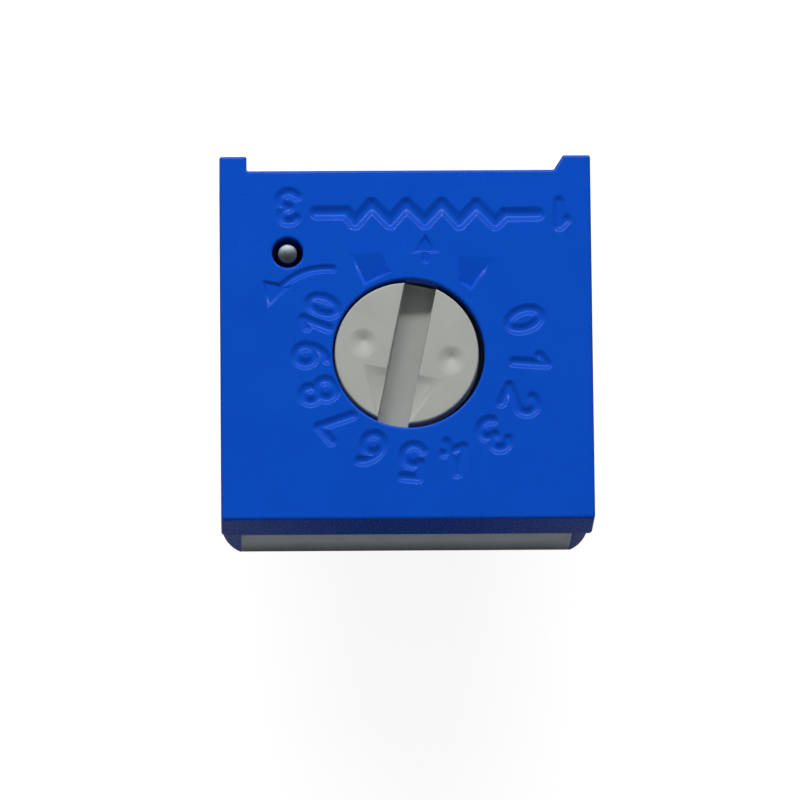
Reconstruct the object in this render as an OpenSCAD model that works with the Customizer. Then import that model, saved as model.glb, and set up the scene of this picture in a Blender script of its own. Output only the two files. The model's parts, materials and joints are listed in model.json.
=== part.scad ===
// Single-turn cermet trimmer potentiometer, 3/8 inch square, top adjust.
// The origin lies on the rotor's axis, in the plane that the back feet stand on.
// +Z leaves the face with the rotor in it, and +Y points to the side with the two standoffs.

/* [Housing] */
// Width of the housing along X
body_w = 9.53; // [9:0.01:11.5]
// Height of the square face along Y, without the side standoffs
body_h = 9.15; // [9:0.01:11]
// Depth of the housing from its back feet to its face
body_d = 4.83; // [4:0.01:6]
// Distance from the rotor's axis to the plain side at -Y
axis_to_plain_side = 4.34; // [4.3:0.01:4.6]
// Thickness of the side walls
wall = 0.52; // [0.4:0.01:0.65]
// Radius of the upright corners of the skirt
skirt_corner_r = 0.80; // [0.3:0.01:0.9]
// Radius of the upright corners beside the face
face_corner_r = 0.10; // [0.05:0.01:0.2]
// Bevel round the edge of the face
face_bevel = 0.10; // [0.05:0.01:0.2]
// Height of the wall left at the plain side, from the face down to the cut-back
plain_wall_h = 1.97; // [1.8:0.01:2.8]

/* [Standoffs] */
// How far the two side standoffs reach past the side at +Y
side_standoff_h = 0.38; // [0.2:0.01:0.6]
// Width of each side standoff
side_standoff_w = 0.70; // [0.4:0.01:1]
// Extra width at the root of the standoff at +X, where it slopes
side_standoff_slope = 0.24; // [0:0.01:0.5]
// Height of the back feet
foot_h = 0.38; // [0.2:0.01:0.5]
// Diameter of the back feet
foot_dia = 0.90; // [0.6:0.01:1]
// Distance from the outer sides to the middle of a back foot
foot_inset = 1.02; // [0.9:0.01:1.1]

/* [Rotor] */
// Diameter of the rotor's face
rotor_dia = 3.68; // [3.1:0.01:4.5]
// Gap between the rotor's face and its aperture, across the radius
aperture_gap = 0.105; // [0.05:0.005:0.2]
// How far the aperture's lip stands off the rotor's axis along +X
aperture_shift = 0.05; // [0:0.01:0.08]
// Depth of the lip round the aperture
lip_d = 0.50; // [0.25:0.01:0.55]
// Bevel round the aperture and round the hole over lead 3
hole_bevel = 0.05; // [0.02:0.01:0.1]
// Unbroken neck that is left between the slot's floor and the groove of the sealing ring
neck_floor = 0.05; // [0.03:0.01:0.2]
// Step from the hub out to the flange behind it
flange_step = 0.49; // [0.3:0.01:0.6]
// Thickness of the flange
flange_t = 0.47; // [0.4:0.01:0.6]
// Running clearance between the hub and its bore, across the radius
hub_clearance = 0.04; // [0.02:0.005:0.08]
// Running clearance along the axis
end_clearance = 0.04; // [0.02:0.005:0.08]
// Bevel round the rotor's face
rotor_bevel = 0.05; // [0.03:0.01:0.2]

/* [Screwdriver slot] */
// Width of the slot
slot_w = 0.87; // [0.5:0.01:1]
// Depth of the slot
slot_d = 0.76; // [0.5:0.01:1]
// Rim that is left at the closed end of the slot
slot_rim = 0.04; // [0.02:0.01:0.4]
// Length of the ramp at the closed end of the slot
slot_ramp = 0.27; // [0.05:0.01:0.5]
// Width of the arrowhead at its barbs
arrow_w = 2.09; // [1.6:0.01:2.4]
// Distance from the axis to the barbs of the arrowhead
arrow_start = 0.50; // [0.3:0.01:0.9]
// Depth of the arrowhead at its barbs
arrow_d = 0.09; // [0.06:0.01:0.5]
// Depth of the arrowhead at its tip
arrow_tip_d = 0.04; // [0.02:0.01:0.06]
// Diameter of the two dimples beside the slot
dimple_dia = 0.75; // [0.5:0.01:0.9]
// Depth of the dimples
dimple_d = 0.10; // [0.05:0.01:0.3]
// Rim that is left between a dimple and the edge of the rotor's face
dimple_rim = 0.32; // [0.2:0.01:0.5]
// Distance of the dimples from the axis, away from the arrowhead
dimple_y = 0.16; // [0:0.01:0.4]

/* [Setting] */
// Turn of the rotor from mid travel, positive anticlockwise
rotor_turn = -11.8; // [-155:0.1:155]
// Free turn between the two stops
travel = 310; // [290:1:320]
// Half of the angle that the rotor's stop lug takes up
lug_half = 12.5; // [8:0.5:14]
// Reach of the stop lug past the flange
lug_reach = 0.45; // [0.3:0.01:0.5]
// Turn that is left at each end of the travel before the lug meets the stop
stop_margin = 0.3; // [0.1:0.1:1]
// Clearance round the stop lug, across the radius
lug_clearance = 0.10; // [0.05:0.01:0.15]

/* [Seal] */
// Thickness of the sealing ring
ring_dia = 0.58; // [0.45:0.01:0.7]
// Free clearance of the ring all round in its groove
ring_clearance = 0.01; // [0.005:0.005:0.02]

/* [Element] */
// Thickness of the ceramic substrate
substrate_t = 0.60; // [0.5:0.01:0.7]
// Room for the wiper between the rotor's back and the films
wiper_room = 0.47; // [0.4:0.01:0.6]
// Gap round the substrate
substrate_gap = 0.06; // [0.03:0.01:0.1]
// Clearance of the substrate's cut-off corners to the feet
substrate_foot_gap = 0.165; // [0.05:0.005:0.25]
// Thickness of the printed films
film_t = 0.03; // [0.02:0.005:0.05]
// Distance from the resistive track to the side of the rotor's well
track_margin = 0.10; // [0.05:0.01:0.2]
// Width of the resistive track
track_w = 0.45; // [0.3:0.01:0.5]
// Angle that the resistive track spans
track_span = 280; // [240:1:288]
// Angle that each end pad carries on past the wiper's last place
pad_overrun = 1; // [0.5:0.5:3]
// Gap between neighbouring films
film_gap = 0.06; // [0.04:0.01:0.1]
// Radius of the collector's disc
collector_r = 0.85; // [0.6:0.01:1.1]
// Width of the printed traces
trace_w = 0.50; // [0.3:0.01:0.6]

/* [Leads] */
// Diameter of a lead
lead_dia = 0.51; // [0.4:0.01:0.62]
// Length of a lead below the feet's plane
lead_len = 3.81; // [2.5:0.01:5.08]
// Distance between leads 1 and 3
lead_spacing = 6.06; // [6.0:0.01:6.3]
// Distance from the rotor's axis to the row of leads 1 and 3, towards +Y
lead_row_y = 2.65; // [2.62:0.01:2.75]
// Length of lead 3 that stands back from the face in its hole
lead_sunk = 0.12; // [0.05:0.01:0.5]
// Clearance between lead 3 and the hole in the face, across the radius
lead_window_gap = 0.14; // [0.08:0.01:0.18]
// Reach of a solder fillet from the side of its lead
solder_run = 0.145; // [0.1:0.005:0.18]
// Clearance round a lead in the substrate, across the radius
lead_clearance = 0.04; // [0.02:0.01:0.06]
// Clearance round a solder fillet in the housing, across the radius
pocket_gap = 0.13; // [0.08:0.01:0.14]
// Clearance over a lead that stops at the substrate
pocket_head = 0.14; // [0.08:0.01:0.3]
// Height of a solder fillet above the substrate
solder_h = 0.09; // [0.06:0.01:0.12]
// Height of the domed end of a lead that stops at the substrate
short_dome = 0.05; // [0.02:0.01:0.08]
// Height of the domed end of lead 3
long_dome = 0.09; // [0.05:0.01:0.2]
// Length of the short point at a lead's lower end
lead_point = 0.12; // [0.05:0.01:0.2]

/* [Wiper] */
// Width of the wiper's carrier plate
carrier_w = 3.60; // [3.2:0.05:3.8]
// Length of the carrier plate across the fingers' welds
carrier_len = 1.30; // [1.1:0.05:1.4]
// Thickness of the carrier plate
carrier_t = 0.12; // [0.08:0.01:0.15]
// Depth of the carrier's underside in the rotor
carrier_sink = 0.03; // [0.01:0.01:0.06]
// Clearance round the carrier in its pocket
carrier_gap = 0.03; // [0.02:0.01:0.05]
// Rim of the flange that is left round the carrier's pocket
carrier_rim = 0.25; // [0.15:0.01:0.3]
// Distance from the axis to the inner end of the fingers' weld
weld_in = 1.10; // [1:0.05:1.3]
// Distance from the axis to the outer end of the fingers' weld
weld_out = 1.95; // [1.7:0.05:2]
// Distance from the axis to the place where the fingers touch the collector
tip_collector = 0.35; // [0.2:0.05:0.5]
// Number of contact fingers
finger_count = 6; // [4:1:8]
// Width of a contact finger
finger_w = 0.09; // [0.06:0.01:0.1]
// Thickness of the contact fingers
finger_t = 0.06; // [0.04:0.01:0.08]
// Distance between neighbouring fingers
finger_pitch = 0.14; // [0.12:0.01:0.16]
// Radius that the fingers' ends are bent to
knuckle_r = 0.12; // [0.1:0.01:0.15]
// Gap between a finger's tip and the film under it
contact_gap = 0.012; // [0.01:0.001:0.02]
// Diameter of the two staking posts that hold the carrier
post_dia = 0.46; // [0.4:0.01:0.5]
// Distance of a post from the middle of the carrier
post_x = 1.25; // [1.1:0.05:1.3]
// Clearance round a post, across the diameter
post_gap = 0.02; // [0.01:0.01:0.04]
// How far the flattened posts stand out of the rotor's back
post_head = 0.02; // [0.01:0.01:0.05]

/* [Potting] */
// Height of the potting's back above the feet's plane
potting_z = 0.42; // [0.39:0.01:0.6]
// How far the potting stands back in the cut-back
potting_sink = 0.03; // [0.01:0.01:0.1]
// Radius of the potting's lower edge at the cut-back
potting_edge_r = 0.15; // [0.1:0.01:0.6]

/* [Hidden] */
$fn = 96;
eps = 0.01;                 // overlap between solids that are fused, and overrun of cuts

// Sides of the body
plain_side = -axis_to_plain_side;
foot_side = plain_side + body_h;
side_x = body_w / 2;
body_mid_y = (plain_side + foot_side) / 2;
standoff_y = foot_side + side_standoff_h;
cutback_h = body_d - plain_wall_h;

// Radii about the rotor's axis, from the face's rim outwards
neck_r = rotor_dia / 2;
aperture_r = neck_r + aperture_gap;
bore_r = neck_r + ring_dia + 2 * ring_clearance;
hub_r = bore_r - hub_clearance;
flange_r = hub_r + flange_step;
lug_r = flange_r + lug_reach;
well_r = lug_r + lug_clearance;
track_out = well_r - track_margin;
track_in = track_out - track_w;

// Heights, from the face down to the potting
lip_z = body_d - lip_d;
hub_top = lip_z - end_clearance;
slot_floor = body_d - slot_d;
hub_bottom = slot_floor - neck_floor;
flange_top = hub_bottom - ring_dia - 2 * ring_clearance;
well_top = flange_top + end_clearance;
rotor_back = flange_top - flange_t;
film_z = rotor_back - wiper_room;
substrate_z = film_z - film_t;
substrate_back = substrate_z - substrate_t;

// Angles: half of the housing's stop, one end of the track, and half of the pad that carries it on
stop_half = (360 - travel) / 2 - lug_half - stop_margin;
track_end = 90 - (360 - track_span) / 2;
pad_half = ((travel - track_span) / 2 + pad_overrun) / 2;

// Leads and what surrounds them
lead_r = lead_dia / 2;
lead_hole_r = lead_r + lead_clearance;
lead_window_r = lead_r + lead_window_gap;
solder_r = lead_r + solder_run;
lead_1_at = [lead_spacing / 2, lead_row_y];
lead_2_at = [0, -(track_in - film_gap - solder_r)];
lead_3_at = [-lead_spacing / 2, lead_row_y];
lead_top = substrate_z + solder_h + short_dome;
pocket_r = solder_r + pocket_gap;
pocket_top = lead_top + pocket_head;

// Wiper, with its distances measured from the axis towards the arrowhead
carrier_z = rotor_back + carrier_sink;
knuckle_z = film_z + contact_gap + knuckle_r;
tip_track = track_in + track_w / 2;
carrier_mid = (weld_in + weld_out) / 2;

// Plan outline of the body: r_plain rounds its corners at -Y, r_foot those at +Y.
module body_plan(r_plain, r_foot) {
    w = side_x;
    h = body_h / 2;
    translate([0, body_mid_y]) {
        difference() {
            square([2 * w, 2 * h], center = true);
            for (sx = [-1, 1], c = [[-1, r_plain], [1, r_foot]])
                translate([sx * w, c[0] * h]) square(2 * c[1], center = true);
        }
        for (sx = [-1, 1], c = [[-1, r_plain], [1, r_foot]])
            translate([sx * (w - c[1]), c[0] * (h - c[1])]) circle(c[1]);
    }
}

// Outline of the chamber behind the element, with square corners.
module chamber_plan() {
    translate([-side_x + wall, plain_side + wall])
        square([body_w - 2 * wall, body_h - 2 * wall]);
}

// Side view of a block from a to b, bevelled at the face and open at the back.
module bevelled_side(a, b) {
    polygon([[a, foot_h], [b, foot_h], [b, body_d - face_bevel], [b - face_bevel, body_d],
             [a + face_bevel, body_d], [a, body_d - face_bevel]]);
}

// Keeps what its children have in common with a bevelled block that ends at y_end.
module bevelled_to(y_end) {
    intersection() {
        rotate([90, 0, 0])
            translate([0, 0, -y_end - 1])
                linear_extrude(y_end - plain_side + 2) bevelled_side(-side_x, side_x);
        rotate([90, 0, 90])
            translate([0, 0, -side_x - 1])
                linear_extrude(body_w + 2) bevelled_side(plain_side, y_end);
        union() children();
    }
}

// Outside of the moulded cap. Its skirt has wide round corners on the plain side.
module cap_outside() {
    bevelled_to(foot_side) {
        linear_extrude(cutback_h) body_plan(skirt_corner_r, face_corner_r);
        translate([0, 0, cutback_h])
            linear_extrude(body_d - cutback_h + 1) body_plan(face_corner_r, face_corner_r);
    }
}

// The two standoffs on the side at +Y. The one at +X slopes on its inner side.
module side_standoffs() {
    root = foot_side - wall / 2;
    x0 = side_x - side_standoff_w;
    bevelled_to(standoff_y)
        linear_extrude(body_d + 1) {
            translate([-side_x, root])
                square([side_standoff_w, standoff_y - root]);
            polygon([[x0 - side_standoff_slope, root], [x0 - side_standoff_slope, foot_side],
                     [x0, standoff_y], [side_x, standoff_y], [side_x, root]]);
        }
}

// Four round feet that stand on the board, backed in the corners as far as the ledge.
module back_feet() {
    for (sx = [-1, 1], sy = [-1, 1]) {
        at = [sx * (side_x - foot_inset), body_mid_y + sy * (body_h / 2 - foot_inset)];
        translate([at[0], at[1], 0]) cylinder(h = substrate_z + eps, d = foot_dia);
        translate([0, 0, foot_h])
            linear_extrude(substrate_z + eps - foot_h)
                intersection() {
                    chamber_plan();
                    translate([at[0] + sx * foot_inset / 2, at[1] + sy * foot_inset / 2])
                        square(foot_inset, center = true);
                }
    }
}

// Sector of a circle of radius r, half_angle to each side of the angle mid.
module sector(r, mid, half_angle) {
    reach = r / cos(half_angle);
    intersection() {
        circle(r);
        polygon([[0, 0],
                 [reach * cos(mid - half_angle), reach * sin(mid - half_angle)],
                 [reach * cos(mid + half_angle), reach * sin(mid + half_angle)]]);
    }
}

// Straight band of width w between two points.
module trace_between(a, b, w) {
    d = b - a;
    translate(a)
        rotate(atan2(d[1], d[0]))
            translate([0, -w / 2]) square([norm(d), w]);
}

// Where the printed trace leaves the track's end, on the side of X that s gives.
function trace_start(s) = tip_track * [s * cos(track_end + pad_half), sin(track_end + pad_half)];

// Pocket over a lead's solder, opened to the rotor's well along the printed trace.
module land_pocket(at) {
    translate([0, 0, substrate_z - eps])
        linear_extrude(pocket_top - substrate_z + eps) {
            translate(at) circle(pocket_r);
            trace_between(trace_start(sign(at[0])), at, trace_w + 2 * film_gap);
        }
}

// Cone that bevels the edge of a round hole of radius r in the face.
module hole_bevel_cone(r) {
    translate([0, 0, body_d - hole_bevel])
        cylinder(h = 2 * hole_bevel, r1 = r, r2 = r + 2 * hole_bevel);
}

module housing() {
    color([0.03, 0.27, 0.69])
    difference() {
        union() {
            cap_outside();
            side_standoffs();
            back_feet();
        }
        // chamber for the substrate and the potting, between the feet
        difference() {
            translate([0, 0, -1])
                linear_extrude(substrate_z + 1) chamber_plan();
            back_feet();
        }
        // cut-back of the skirt, run into the chamber as far up as that goes
        for (cut = [[cutback_h, 0], [min(cutback_h, substrate_z), eps]])
            translate([-side_x + wall, plain_side - 1, -1])
                cube([body_w - 2 * wall, 1 + wall + cut[1], 1 + cut[0]]);
        // well of the rotor's flange, with the stop left standing
        difference() {
            translate([0, 0, substrate_z - eps])
                cylinder(h = well_top - substrate_z + eps, r = well_r);
            translate([0, 0, rotor_back])
                linear_extrude(body_d)
                    difference() {
                        sector(well_r + 1, 90, stop_half);
                        circle(flange_r + lug_clearance / 2);
                    }
        }
        // bore that the hub and the sealing ring sit in
        cylinder(h = lip_z, r = bore_r);
        // aperture in the face
        translate([aperture_shift, 0, lip_z - eps])
            cylinder(h = lip_d + 1, r = aperture_r);
        translate([aperture_shift, 0, 0]) hole_bevel_cone(aperture_r);
        // pockets over leads 1 and 3, and the hole over lead 3
        land_pocket(lead_1_at);
        land_pocket(lead_3_at);
        translate([lead_3_at[0], lead_3_at[1], substrate_z])
            cylinder(h = body_d, r = lead_window_r);
        translate([lead_3_at[0], lead_3_at[1], 0]) hole_bevel_cone(lead_window_r);
    }
}

// Side view of the potting along Y: full under the substrate, with a lip in the cut-back.
module potting_side() {
    front = plain_side + potting_sink;
    inner = plain_side + wall;
    r = potting_edge_r;
    difference() {
        polygon([[front, potting_z], [foot_side - wall, potting_z], [foot_side - wall, substrate_back],
                 [inner, substrate_back], [inner, cutback_h], [front, cutback_h]]);
        // round lower edge
        difference() {
            translate([front - r, potting_z - r]) square(2 * r);
            translate([front + r, potting_z + r]) circle(r);
        }
    }
}

module potting() {
    color([0.38, 0.41, 0.42])
    difference() {
        intersection() {
            rotate([90, 0, 90])
                translate([0, 0, -side_x + wall])
                    linear_extrude(body_w - 2 * wall) potting_side();
            linear_extrude(body_d) body_plan(skirt_corner_r, face_corner_r);
        }
        back_feet();
        for (at = [lead_1_at, lead_2_at, lead_3_at])
            translate([at[0], at[1], -eps]) cylinder(h = body_d, r = lead_r);
    }
}

module substrate() {
    edge = wall + substrate_gap;
    w = side_x - edge;
    y0 = plain_side + edge;
    y1 = foot_side - edge;
    c = 2 * (foot_inset - edge) + sqrt(2) * (foot_dia / 2 + substrate_foot_gap);
    color([0.93, 0.92, 0.88])
    translate([0, 0, substrate_back])
        linear_extrude(substrate_t)
            difference() {
                polygon([[-w + c, y0], [w - c, y0], [w, y0 + c], [w, y1 - c],
                         [w - c, y1], [-w + c, y1], [-w, y1 - c], [-w, y0 + c]]);
                for (at = [lead_1_at, lead_2_at, lead_3_at])
                    translate(at) circle(lead_hole_r);
            }
}

// Outline of the horseshoe, open towards +Y.
module track_plan() {
    difference() {
        circle(track_out);
        circle(track_in);
        sector(track_out + 1, 90, (360 - track_span) / 2);
    }
}

module resistive_track() {
    color([0.16, 0.15, 0.15])
    translate([0, 0, substrate_z])
        linear_extrude(film_t) track_plan();
}

// Ring-shaped land of printed film round a lead.
module land(at) {
    translate(at)
        difference() {
            circle(solder_r);
            circle(lead_hole_r);
        }
}

module collector() {
    color([0.78, 0.77, 0.74])
    translate([0, 0, substrate_z])
        linear_extrude(film_t) {
            difference() {
                union() {
                    circle(collector_r);
                    trace_between([0, 0], lead_2_at, trace_w);
                }
                translate(lead_2_at) circle(lead_hole_r);
            }
            land(lead_2_at);
        }
}

// Printed conductor: a pad that carries on the track's end, and a trace to the lead's land.
module termination(at) {
    s = sign(at[0]);
    color([0.78, 0.77, 0.74])
    translate([0, 0, substrate_z])
        linear_extrude(film_t) {
            difference() {
                union() {
                    sector(track_out, 90 - s * (90 - track_end - pad_half), pad_half);
                    trace_between(trace_start(s), at, trace_w);
                }
                circle(track_in);
                track_plan();
                translate(at) circle(lead_hole_r);
            }
            difference() {
                land(at);
                circle(track_out + film_gap);
            }
        }
}

module termination_1() { termination(lead_1_at); }
module termination_3() { termination(lead_3_at); }

// Round lead with a domed upper end and a short point at its lower end.
module lead(at, top, dome) {
    color([0.80, 0.81, 0.82])
    translate([at[0], at[1], 0])
        rotate_extrude()
            polygon(concat(
                [[0, -lead_len], [lead_r - lead_point, -lead_len], [lead_r, -lead_len + lead_point]],
                [for (a = [0:15:90]) [lead_r - dome + dome * cos(a), top - dome + dome * sin(a)]],
                [[0, top]]));
}

module lead_1() { lead(lead_1_at, lead_top, short_dome); }
module lead_2() { lead(lead_2_at, lead_top, short_dome); }
module lead_3() { lead(lead_3_at, body_d - lead_sunk, long_dome); }

// Concave fillet of solder between a land and its lead.
module solder(at) {
    run = solder_r - lead_r;
    color([0.70, 0.71, 0.72])
    translate([at[0], at[1], film_z])
        rotate_extrude()
            polygon(concat([[lead_r, 0], [solder_r, 0]],
                [for (a = [15:15:90]) [solder_r - run * sin(a), (solder_h - film_t) * (1 - cos(a))]]));
}

// Keeps solder on its land, clear of the track.
module off_the_track() {
    difference() {
        children();
        cylinder(h = body_d, r = track_out + film_gap);
    }
}

module solder_1() { off_the_track() solder(lead_1_at); }
module solder_2() { solder(lead_2_at); }
module solder_3() { off_the_track() solder(lead_3_at); }

module o_ring() {
    color([0.55, 0.20, 0.14])
    translate([0, 0, (hub_bottom + flange_top) / 2])
        rotate_extrude()
            translate([(bore_r + neck_r) / 2, 0]) circle(d = ring_dia);
}

// What turns with the rotor is drawn with the arrowhead at -Y and turned to its setting here.
module turned() {
    rotate(rotor_turn) children();
}

// Plan of the arrowhead, its sides running on to the slot's closed end.
module arrow_plan() {
    tip = neck_r - slot_rim;
    polygon([[-arrow_w / 2, -arrow_start], [arrow_w / 2, -arrow_start],
             [slot_w / 2, -tip], [-slot_w / 2, -tip]]);
}

module screwdriver_slot() {
    closed = neck_r - slot_rim;
    // slot, open at the rim at one end and ramped at the other
    rotate([90, 0, 90])
        translate([0, 0, -slot_w / 2])
            linear_extrude(slot_w)
                polygon([[-closed, body_d + 1], [-closed, body_d], [-closed + slot_ramp, slot_floor],
                         [aperture_r, slot_floor], [aperture_r, body_d + 1]]);
    // arrowhead, its floor rising towards the tip
    intersection() {
        linear_extrude(body_d + 1) arrow_plan();
        rotate([90, 0, 90])
            translate([0, 0, -neck_r])
                linear_extrude(rotor_dia)
                    polygon([[-closed, body_d - arrow_tip_d], [-arrow_start, body_d - arrow_d],
                             [-arrow_start, body_d + 1], [-closed, body_d + 1]]);
    }
}

module dimples() {
    r = dimple_dia / 2;
    ball_r = (r * r + dimple_d * dimple_d) / (2 * dimple_d);
    for (s = [-1, 1])
        translate([s * (neck_r - dimple_rim - r), dimple_y, body_d - dimple_d + ball_r]) sphere(ball_r);
}

// Plan of the carrier plate, with its two staking holes.
module carrier_plan(grow = 0) {
    w = carrier_w + 2 * grow;
    h = carrier_len + 2 * grow;
    translate([0, -carrier_mid])
        intersection() {
            square([w, h], center = true);
            translate([0, carrier_mid]) circle(flange_r - carrier_rim + grow);
        }
}

module rotor() {
    color([0.82, 0.83, 0.80])
    turned()
    difference() {
        union() {
            difference() {
                rotate_extrude()
                    polygon([[0, rotor_back], [flange_r, rotor_back], [flange_r, flange_top],
                             [neck_r, flange_top], [neck_r, hub_bottom],
                             [hub_r, hub_bottom], [hub_r, hub_top], [neck_r, hub_top],
                             [neck_r, body_d - rotor_bevel], [neck_r - rotor_bevel, body_d],
                             [0, body_d]]);
                // pocket of the carrier in the underside
                translate([0, 0, rotor_back - eps])
                    linear_extrude(carrier_sink + carrier_t + eps) carrier_plan(carrier_gap);
            }
            // stop lug
            translate([0, 0, rotor_back])
                linear_extrude(flange_t)
                    difference() {
                        sector(lug_r, -90, lug_half);
                        circle(flange_r - eps);
                    }
            // staking posts with flattened heads
            for (s = [-1, 1])
                translate([s * post_x, -carrier_mid, rotor_back - post_head])
                    cylinder(h = post_head + carrier_sink + carrier_t + eps, d = post_dia);
        }
        screwdriver_slot();
        dimples();
    }
}

module wiper_carrier() {
    color([0.80, 0.62, 0.30])
    turned()
    translate([0, 0, carrier_z])
        linear_extrude(carrier_t)
            difference() {
                carrier_plan();
                for (s = [-1, 1])
                    translate([s * post_x, -carrier_mid]) circle(d = post_dia + post_gap);
            }
}

// Point of a knuckle: r from its middle, which lies at the distance at from the axis.
function knuckle(at, r, a) = [at + r * cos(a), knuckle_z + r * sin(a)];

// Slope of a finger's leg that leaves its knuckle and meets the flat stretch run away and rise above.
function leg_slope(run, rise) = atan2(rise, run) + asin(knuckle_r / norm([run, rise]));

// Side view of the comb, from the knuckle on the collector to the one on the track.
module finger_side() {
    flat_z = carrier_z - finger_t;
    rise = flat_z - knuckle_z;
    inner = leg_slope(weld_in - tip_collector, rise);
    outer = leg_slope(tip_track - weld_out, rise);
    near_arc = [for (i = [0:6]) -165 + i * (75 + inner) / 6];
    far_arc = [for (i = [0:6]) -90 - outer + i * (75 + outer) / 6];
    under = concat(
        [for (a = near_arc) knuckle(tip_collector, knuckle_r, a)],
        [[weld_in, flat_z], [weld_out, flat_z]],
        [for (a = far_arc) knuckle(tip_track, knuckle_r, a)]);
    over = concat(
        [for (a = near_arc) knuckle(tip_collector, knuckle_r - finger_t, a)],
        [[weld_in - finger_t * tan(inner / 2), carrier_z],
         [weld_out + finger_t * tan(outer / 2), carrier_z]],
        [for (a = far_arc) knuckle(tip_track, knuckle_r - finger_t, a)]);
    polygon(concat(under, [for (i = [len(over) - 1:-1:0]) over[i]]));
}

module wiper_fingers() {
    comb_w = (finger_count - 1) * finger_pitch + finger_w;
    color([0.85, 0.80, 0.62])
    turned() {
        for (i = [0:finger_count - 1])
            translate([comb_w / 2 - i * finger_pitch, 0, 0])
                rotate([90, 0, -90])
                    linear_extrude(finger_w) finger_side();
        // bar that joins the fingers under the carrier
        translate([-comb_w / 2, -weld_out, carrier_z - finger_t])
            cube([comb_w, weld_out - weld_in, finger_t]);
    }
}

housing();
potting();
substrate();
resistive_track();
collector();
termination_1();
termination_3();
lead_1();
lead_2();
lead_3();
solder_1();
solder_2();
solder_3();
o_ring();
rotor();
wiper_carrier();
wiper_fingers();
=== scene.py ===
# %% [markdown]
# # A single-turn trimmer potentiometer
# The part is a 9.5 mm square moulded box with a white rotor that a screwdriver turns. The solids come
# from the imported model, in metres, with the origin on the rotor's axis in the plane of the back feet.
# This script gives them their finish and rebuilds the pieces that a camera sees from close by: the cap
# with its engraved face, the rotor's slotted end, the tinned leads and the potting. It thinks in
# millimetres and changes to metres when a mesh is made.

# %% Load the frame
import json
import math

import bmesh
import bpy
import numpy as np
from mathutils import Matrix, Vector
from mathutils.geometry import delaunay_2d_cdt


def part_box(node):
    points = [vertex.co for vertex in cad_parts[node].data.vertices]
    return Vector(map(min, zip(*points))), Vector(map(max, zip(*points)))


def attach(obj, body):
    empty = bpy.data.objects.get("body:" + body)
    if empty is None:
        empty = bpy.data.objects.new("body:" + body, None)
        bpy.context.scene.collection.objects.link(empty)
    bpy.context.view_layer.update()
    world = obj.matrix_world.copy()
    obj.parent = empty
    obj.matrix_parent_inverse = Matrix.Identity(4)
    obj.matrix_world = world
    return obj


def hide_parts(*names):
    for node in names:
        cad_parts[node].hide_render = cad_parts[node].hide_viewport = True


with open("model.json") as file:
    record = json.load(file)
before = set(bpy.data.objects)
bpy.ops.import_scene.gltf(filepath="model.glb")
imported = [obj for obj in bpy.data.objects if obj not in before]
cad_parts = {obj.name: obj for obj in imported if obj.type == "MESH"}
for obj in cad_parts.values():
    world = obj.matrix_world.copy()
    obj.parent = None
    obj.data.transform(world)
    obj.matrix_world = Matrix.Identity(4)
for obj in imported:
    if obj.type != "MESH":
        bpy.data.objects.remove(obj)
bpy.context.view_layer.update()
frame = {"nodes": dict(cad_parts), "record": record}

MM = 0.001

# %% [markdown]
# ## Sizes
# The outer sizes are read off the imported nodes, so that they can't drift from the solids. The rest are
# the part's own sizes: the rotor's neck and hub, the aperture with its lip, and the gap round the lead.

# %% Sizes taken from the nodes
def corners_mm(node):
    """Lowest and highest corner of a CAD node, in millimetres."""
    low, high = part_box(node)
    return np.array(low) / MM, np.array(high) / MM


housing_low, housing_high = corners_mm("housing")
rotor_high = corners_mm("rotor")[1]
lead_low, lead_high = corners_mm("lead_3")
face_z = housing_high[2]
side_x = housing_high[0]
plain_side = housing_low[1]
standoff_y = housing_high[1]
floor_z = lead_low[2]
lead_r = (lead_high[0] - lead_low[0]) / 2
lead_3_xy = (lead_high[:2] + lead_low[:2]) / 2
print("face at", round(face_z, 3), "mm; leads end at", round(floor_z, 3), "mm; lead radius", round(lead_r, 3))

# %% Sizes of the rotor and its aperture
neck_r = 1.84
flange_over_hub = 0.49
hub_r = rotor_high[0] - flange_over_hub
hub_top = 4.29
aperture_r = 1.945
aperture_at = np.array([0.05, 0.0])
lip_z = 4.33
window_gap = 0.14
window_r = lead_r + window_gap
rotor_turn = math.radians(-11.8)
print("neck radius", neck_r, "mm in an aperture of radius", aperture_r, "mm")

# %% [markdown]
# ## Camera
# The camera comes first, because it decides how fine each surface has to be. It looks at the face from
# nearly straight above, tipped a little towards the plain side, with a long lens that keeps the square
# face almost free of perspective. A rotation matrix places it more exactly than a Track To constraint.

# %% Camera
camera_pitch = math.radians(12.16)
camera_yaw = math.radians(1.2)
camera_roll = math.radians(0.57)
camera_reach = 240.0
camera_side_step = np.array([-0.173, -1.209])

camera_data = bpy.data.cameras.new("camera")
camera = bpy.data.objects.new("camera", camera_data)
bpy.context.scene.collection.objects.link(camera)
turn = (Matrix.Rotation(-camera_yaw, 3, "Y") @ Matrix.Rotation(camera_pitch, 3, "X")
        @ Matrix.Rotation(-camera_roll, 3, "Z"))
camera_place = turn @ Vector((*camera_side_step, camera_reach)) + Vector((0, 0, face_z))
camera.matrix_world = Matrix.Translation(camera_place * MM) @ turn.to_4x4()
camera_data.sensor_width = 36
camera_data.lens = 422.3
camera_data.clip_start = 0.01
camera_data.clip_end = 10
bpy.context.scene.camera = camera
print("camera at", [round(v, 1) for v in camera_place], "mm")

# %% [markdown]
# ## Light and floor
# The main lamp stands beyond the far side of the face, like a strip of window, so that each engraved
# stroke has one dark and one bright side. A large soft lamp overhead and a weak card in front lift the
# rest. The lamps stay at a level where a colour renders about as it is written. The surroundings are
# white to the camera. What mirrors them sees white near the level and dark overhead, so the flat face
# keeps its deep colour, and rough surfaces get next to no light from them.

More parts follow.
